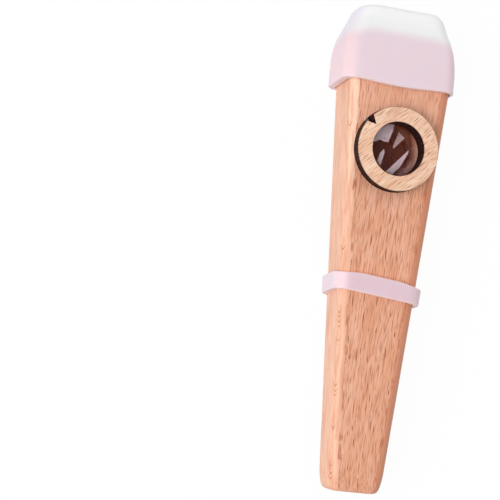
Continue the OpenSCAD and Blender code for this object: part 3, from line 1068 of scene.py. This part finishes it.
# Places of the film with painted reflections where its folds catch the light, and a faint painted glow of the
# lit chamber wall below it: how strongly, over what width they fade, and their outlines
PAINTED_GLARES = (
    (1.0, 0.22, ((-5.8, 1.6), (-4.4, 5.4), (-1.8, 7.3), (-0.1, 7.3), (-0.5, 5.2), (-1.5, 2.2), (-2.6, 2.2),
                 (-3.8, 2.6))),
    (0.62, 0.22, ((1.4, 5.7), (3.2, 4.1), (0.3, 0.6), (0.0, 1.2))),
    (1.0, 0.22, ((-2.4, 0.3), (-2.1, -0.8), (-2.9, -4.5), (-3.9, -3.3), (-3.4, -1.1))),
    (1.0, 0.22, ((4.7, 1.0), (4.6, -0.2), (2.8, -4.0), (0.6, -6.6), (-1.2, -5.9), (1.7, -2.5))),
    # The last outline is a faint painted glow of the lit chamber wall seen through the film, warm from the
    # film's clear colour
    (0.4, 1.4, ((7.2, -1.5), (6.1, -4.3), (4.3, -6.1), (1.8, -7.3), (2.9, -5.0), (4.3, -3.6), (5.5, -2.0))),
)
FILM_RINGS = 90
FILM_LIFT = 0.04 * MM
FILM_SKIN = 0.03 * MM
FILM_MARGIN = 0.15 * MM
# The film's ripple and the width over which its folds flatten towards the carrier, in millimetres
RIPPLE_HEIGHT = 0.05
RIPPLE_WAYS = (Vector((2.3, 1.1)), Vector((-0.6, 1.7)))
FLATTEN_WIDTH = 1.6


def segment_distance(point, start, end):
    """Distance of a point from a straight segment."""
    along = end - start
    return (point - start - along * clamped((point - start).dot(along) / along.length_squared)).length


def inside_distance(point, outline):
    """How deep a point lies inside an outline. It is negative outside."""
    sides = list(zip(outline, outline[1:] + outline[:1]))
    nearest = min(segment_distance(point, a, b) for a, b in sides)
    crossings = 0
    for a, b in sides:
        if (a.y > point.y) != (b.y > point.y):
            crossings += point.x < a.x + (point.y - a.y) / (b.y - a.y) * (b.x - a.x)
    return nearest if crossings % 2 else -nearest


def film_height(point, free_r):
    """Height of the wrinkled film above its seat, both in millimetres."""
    height = RIPPLE_HEIGHT * math.prod(math.sin(point.dot(way)) for way in RIPPLE_WAYS)
    for start, end, rise, half_width in FOLDS:
        height += rise * max(0.0, 1 - segment_distance(point, Vector(start), Vector(end)) / half_width)
    return height * eased((free_r - point.length) / FLATTEN_WIDTH)


class KAZOO_OT_film(bpy.types.Operator):
    """Add the wrinkled film and mark where its reflections are painted"""

    bl_idname = "kazoo.film"
    bl_label = "Membrane Film"

    def execute(self, context):
        size = settings("membrane")
        bm = bmesh.new()
        last = bm.verts.new((0, 0, 0))
        for radius in steps(0, size.ring_r, FILM_RINGS):
            vert = bm.verts.new((radius, 0, 0))
            bm.edges.new((last, vert))
            last = vert
        spin_round(bm, 2 * ROUND_SEGMENTS)
        seat = FILM_LIFT - settings("wood").recess_depth
        free_r = (size.hole_r - FILM_MARGIN) / MM
        painted_glare = bm.verts.layers.float.new("painted_glare")
        places = [(strength, fade, list(map(Vector, outline))) for strength, fade, outline in PAINTED_GLARES]
        for vert in bm.verts:
            point = Vector((vert.co.x / MM, vert.co.y / MM))
            vert.co.z = seat + film_height(point, free_r) * MM
            vert[painted_glare] = max(strength * clamped(0.5 + inside_distance(point, outline) / fade)
                              for strength, fade, outline in places)
        piece = finish_object("wrinkled_film", bm, film_material())
        thickness = piece.modifiers.new("Thickness", "SOLIDIFY")
        thickness.thickness = FILM_SKIN
        thickness.offset = 0
        piece.data.transform(on_face())
        apply_modifiers(piece)
        shade_smooth(piece)
        hand_over(piece, "membrane_film", "membrane")
        return {"FINISHED"}


CARRIER_EDGE = 0.05 * MM


class KAZOO_OT_carrier(bpy.types.Operator):
    """Add the thin ring that carries the film"""

    bl_idname = "kazoo.carrier"
    bl_label = "Film Carrier"

    def execute(self, context):
        size = settings("membrane")
        low = size.film_t - settings("wood").recess_depth
        bm = washer(size.ring_r - size.carrier_w, size.ring_r, low, low + size.carrier_t)
        piece = finish_object("film_carrier_ring", move(bm, on_face()), carrier_material())
        soften(piece, CARRIER_EDGE)
        hand_over(piece, "membrane_carrier", "membrane")
        return {"FINISHED"}


FLANK_POWER = 1.8
CAP_COLUMNS = 24
CAP_EDGE = 0.25 * MM
CREASE_SEGMENTS = 3
# Shares of the cap: the sag's and the dip's reach across it, and the height and reach of the flank's dent
SAG_DEPTH_SHARE = 0.6
DIP_SHARE = 0.6
DENT_HEIGHT = 0.55
DENT_REACH = 0.4


def flank_share(s):
    """Share of the lip's inset that is reached at a distance s above the cap's rim."""
    soft = settings("soft")
    run = CAP_LEN - soft.straight_len - soft.lip_straight_len
    t = clamped((s - soft.straight_len) / run)
    return (1 - math.cos(math.pi * t ** FLANK_POWER)) / 2


def cap_section(s):
    """Outer section of the cap at a distance s above its rim."""
    soft = settings("soft")
    drawn = flank_share(s)
    rim_in = edge_in(s, soft.rim_edge_r)
    face_in = rim_in + edge_in(CAP_LEN - s, soft.lip_edge_r)
    side_in = rim_in + edge_in(CAP_LEN - s, soft.lip_tip_r) + soft.lip_side_inset * drawn
    straight_r = settings("wood").edge_r + soft.gap + soft.wall
    return Section(CAP_LOW.y + s, CAP_LOW.x + side_in, CAP_HIGH.x - side_in,
                   CAP_LOW.z + soft.lip_back_inset * drawn + face_in,
                   CAP_HIGH.z - soft.lip_front_inset * drawn - face_in,
                   straight_r + (soft.lip_corner_r - straight_r) * drawn - face_in)


def cap_stations():
    """Distances above the cap's rim at which it gets a section."""
    soft = settings("soft")
    flank = ([soft.straight_len / 2, soft.straight_len]
             + steps(soft.straight_len, CAP_LEN - soft.lip_straight_len, FLANK_STEPS))
    return (edge_stations(soft.rim_edge_r)
            + [s for s in flank if s < CAP_LEN - soft.lip_tip_r]
            + [CAP_LEN - u for u in reversed(edge_stations(soft.lip_tip_r)) if u > soft.lip_edge_r]
            + [CAP_LEN - u for u in reversed(edge_stations(soft.lip_edge_r))])


def pocket_sections():
    """The cap's pocket: straight up to the wood's shoulder, then along the wood."""
    wood = settings("wood")
    soft = settings("soft")
    shoulder = BODY_LEN - wood.shoulder_len
    stations = [shoulder] + steps(shoulder, BODY_LEN - wood.end_edge_r, ARC_STEPS)
    inside = [wood_section(v, soft.gap) for v in stations]
    return ([inside[0]._replace(y=CAP_LOW.y - OVERRUN)] + inside
            + [inside[-1]._replace(y=BODY_HIGH.y + soft.gap)])


def opening_sections():
    """The opening through the lip."""
    soft = settings("soft")
    lip = cap_section(CAP_LEN - soft.lip_tip_r)
    return [Section(y, lip.x0 + soft.lip_side_wall, lip.x1 - soft.lip_side_wall,
                    lip.z0 + soft.lip_wall, lip.z1 - soft.lip_wall, soft.opening_r)
            for y in (BODY_HIGH.y - OVERRUN, CAP_HIGH.y + OVERRUN)]


def bend_cap(piece):
    """Lets the rim's middle creep down the wood, front and back, the lip dip and the right flank fall in."""
    soft = settings("soft")
    middle_x = (CAP_LOW.x + CAP_HIGH.x) / 2
    middle_z = (CAP_LOW.z + CAP_HIGH.z) / 2
    flat_half = (CAP_HIGH.x - CAP_LOW.x) / 2 - settings("wood").edge_r - soft.wall
    for vert in piece.data.vertices:
        across = clamped(abs(vert.co.x - middle_x) / flat_half)
        fade = clamped(1 - (vert.co.y - CAP_LOW.y) / soft.rim_sag_len)
        toward_face = clamped(abs(vert.co.z - middle_z) / (CAP_HIGH.z - middle_z) / SAG_DEPTH_SHARE)
        vert.co.y -= soft.rim_sag * math.cos(across * math.pi / 2) ** 1.5 * fade ** 2 * toward_face ** 2
        from_right = min(1.0, (CAP_HIGH.x - vert.co.x) / (CAP_HIGH.x - middle_x) / DIP_SHARE)
        upward = (vert.co.y - CAP_LOW.y) / CAP_LEN
        vert.co.y -= soft.lip_dip * from_right ** 2 * upward ** 3
        vert.co.x -= soft.flank_dent * (1 - from_right) * eased(1 - abs(upward - DENT_HEIGHT) / DENT_REACH)


def add_columns(piece, count):
    """Cuts a piece into columns across X, so that it can bend."""
    bm = bmesh.new()
    bm.from_mesh(piece.data)
    low = min(vert.co.x for vert in bm.verts)
    high = max(vert.co.x for vert in bm.verts)
    for x in steps(low, high, count)[:-1]:
        bmesh.ops.bisect_plane(bm, geom=bm.verts[:] + bm.edges[:] + bm.faces[:], plane_co=(x, 0, 0),
                               plane_no=(1, 0, 0), dist=WELD)
    bm.to_mesh(piece.data)
    bm.free()


class KAZOO_OT_cap(bpy.types.Operator):
    """Add the soft mouthpiece cap with its narrower lip"""

    bl_idname = "kazoo.cap"
    bl_label = "Mouthpiece Cap"

    def execute(self, context):
        colours = settings("colours")
        material = silicone_material("Milky Silicone Cap", colours.silicone_tint, colours.silicone_side_tint,
                                     wood_end=BODY_HIGH.y)
        piece = finish_object("silicone_cap", loft([cap_section(s) for s in cap_stations()]), material)
        cut(piece, (loft(pocket_sections()), material), (loft(opening_sections()), material))
        add_columns(piece, CAP_COLUMNS)
        bend_cap(piece)
        soften(piece, CAP_EDGE, CREASE_SEGMENTS)
        hand_over(piece, "mouthpiece_cap", "cap")
        return {"FINISHED"}


BAND_COLUMNS = 60
BAND_EDGE = 0.2 * MM
NECK_REACH_SHARE = 2.6


def band_loft(offsets, grow):
    """A sleeve around the wood at the band's place. grow gives its distance from the wood at each offset."""
    lean = (BAND_HIGH.z - BAND_LOW.z) / 2 * math.tan(settings("soft").band_pitch)
    v = (BAND_LOW.y + BAND_HIGH.y) / 2 + lean - BODY_LOW.y
    return loft([wood_section(v + u, grow(u)) for u in offsets])


def band_shear():
    """Slides the band's points along Y so that it sits askew."""
    soft = settings("soft")
    slope = math.tan(soft.band_pitch)
    shear = Matrix.Identity(4)
    shear[1][0] = -math.tan(soft.band_skew)
    shear[1][2] = slope
    shear[1][3] = -slope * (BAND_HIGH.z - soft.gap - soft.wall)
    return shear


def neck_band(piece):
    """Draws the band's upper edge in where it bends around the wood's long edges."""
    soft = settings("soft")
    reach = NECK_REACH_SHARE * settings("wood").edge_r
    middle_z = (BAND_LOW.z + BAND_HIGH.z) / 2
    shear_back = band_shear().inverted()
    low_y = min((shear_back @ vert.co).y for vert in piece.data.vertices)
    for vert in piece.data.vertices:
        flat = shear_back @ vert.co
        from_side = max(0.0, (BAND_HIGH.x - BAND_LOW.x) / 2 - abs(vert.co.x) - soft.wall)
        from_face = max(0.0, (BAND_HIGH.z - BAND_LOW.z) / 2 - abs(vert.co.z - middle_z) - soft.wall)
        bend = eased(1 - math.hypot(from_side, from_face) / reach)
        vert.co.y -= soft.band_neck * bend * (flat.y - low_y) / soft.band_w


class KAZOO_OT_band(bpy.types.Operator):
    """Add the soft grip band"""

    bl_idname = "kazoo.band"
    bl_label = "Grip Band"

    def execute(self, context):
        soft = settings("soft")
        half = soft.band_w / 2
        colours = settings("colours")
        material = silicone_material("Milky Silicone Band", colours.band_tint, colours.band_side_tint)
        ends = [half - d for d in edge_stations(soft.band_edge_r)]
        outside = band_loft([-u for u in ends] + list(reversed(ends)),
                            lambda u: soft.gap + soft.wall - edge_in(half - abs(u), soft.band_edge_r))
        inside = band_loft([-half - OVERRUN, half + OVERRUN], lambda u: soft.gap)
        piece = finish_object("silicone_band", move(outside, band_shear()), material)
        cut(piece, (move(inside, band_shear()), material))
        add_columns(piece, BAND_COLUMNS)
        neck_band(piece)
        soften(piece, BAND_EDGE, CREASE_SEGMENTS)
        hand_over(piece, "grip_band", "band")
        return {"FINISHED"}


FLOOR_HALF_SIDE = 3
FLOOR_GAP = 0.05 * MM
SENSOR_MM = 36
CLIP_START = 10 * MM


def add_lamp(name, place, power, size):
    """Adds a square lamp that shines at the object."""
    lamp = bpy.data.lights.new(name, "AREA")
    lamp.energy = power
    lamp.size = size
    made = new_object(name, lamp)
    made.location = place
    made.rotation_euler = (-Vector(place)).to_track_quat("-Z", "Y").to_euler()


class KAZOO_OT_stage(bpy.types.Operator):
    """Add the pale floor, the soft light and the camera"""

    bl_idname = "kazoo.stage"
    bl_label = "Stage"

    def execute(self, context):
        stage = settings("stage")
        scene = context.scene
        bm = bmesh.new()
        bmesh.ops.create_grid(bm, x_segments=1, y_segments=1, size=FLOOR_HALF_SIDE,
                              matrix=Matrix.Translation((0, 0, -FLOOR_GAP)))
        floor = finish_object("pale_floor", bm, floor_material())

        world = bpy.data.worlds.new("Soft White Room")
        scene.world = world
        world.use_nodes = True
        to_camera = node(world.node_tree, "ShaderNodeLightPath", output="Is Camera Ray")
        seen = maths("MAXIMUM", to_camera, to_camera.beside("Is Glossy Ray"))
        seen = maths("MAXIMUM", seen, to_camera.beside("Is Transmission Ray"))
        background = world.node_tree.nodes["Background"].inputs
        connect((1, 1, 1), background["Color"])
        connect(seen * (1 - stage.sky) + stage.sky, background["Strength"])

        add_lamp("key_light", stage.key_place, stage.key_power, stage.key_size)
        add_lamp("fill_light", stage.fill_place, stage.fill_power, stage.fill_size)

        camera = new_object("camera", bpy.data.cameras.new("camera"))
        camera.data.lens = stage.focal_mm
        camera.data.sensor_width = SENSOR_MM
        camera.data.clip_start = CLIP_START
        camera.location = stage.camera_place
        camera.rotation_euler = Euler(stage.camera_turn)
        scene.camera = camera
        scene.view_settings.view_transform = "Standard"
        return {"FINISHED"}


OPERATORS = (KAZOO_OT_body, KAZOO_OT_film, KAZOO_OT_carrier, KAZOO_OT_ring, KAZOO_OT_cap, KAZOO_OT_band,
             KAZOO_OT_stage)


class KAZOO_PT_panel(bpy.types.Panel):
    """Lists the kazoo's pieces"""

    bl_idname = "KAZOO_PT_panel"
    bl_label = "Wooden Kazoo"
    bl_space_type = "VIEW_3D"
    bl_region_type = "UI"
    bl_category = "Kazoo"

    def draw(self, context):
        for operator in OPERATORS:
            self.layout.operator(operator.bl_idname)
        for name in SETTINGS:
            box = self.layout.box()
            for item in SETTINGS[name].__annotations__:
                box.prop(getattr(context.scene, name), item)


def register():
    """Registers the settings, the operators and the panel."""
    for name, kind in SETTINGS.items():
        bpy.utils.register_class(kind)
        setattr(bpy.types.Scene, name, PointerProperty(type=kind))
    for kind in (*OPERATORS, KAZOO_PT_panel):
        bpy.utils.register_class(kind)


def unregister():
    """Takes out what register added."""
    for kind in (KAZOO_PT_panel, *reversed(OPERATORS)):
        bpy.utils.unregister_class(kind)
    for name, kind in reversed(SETTINGS.items()):
        delattr(bpy.types.Scene, name)
        bpy.utils.unregister_class(kind)


def main():
    """Builds the kazoo."""
    register()
    bpy.ops.kazoo.body()
    bpy.ops.kazoo.film()
    bpy.ops.kazoo.carrier()
    bpy.ops.kazoo.ring()
    bpy.ops.kazoo.cap()
    bpy.ops.kazoo.band()
    bpy.ops.kazoo.stage()


if __name__ == "__main__":
    main()
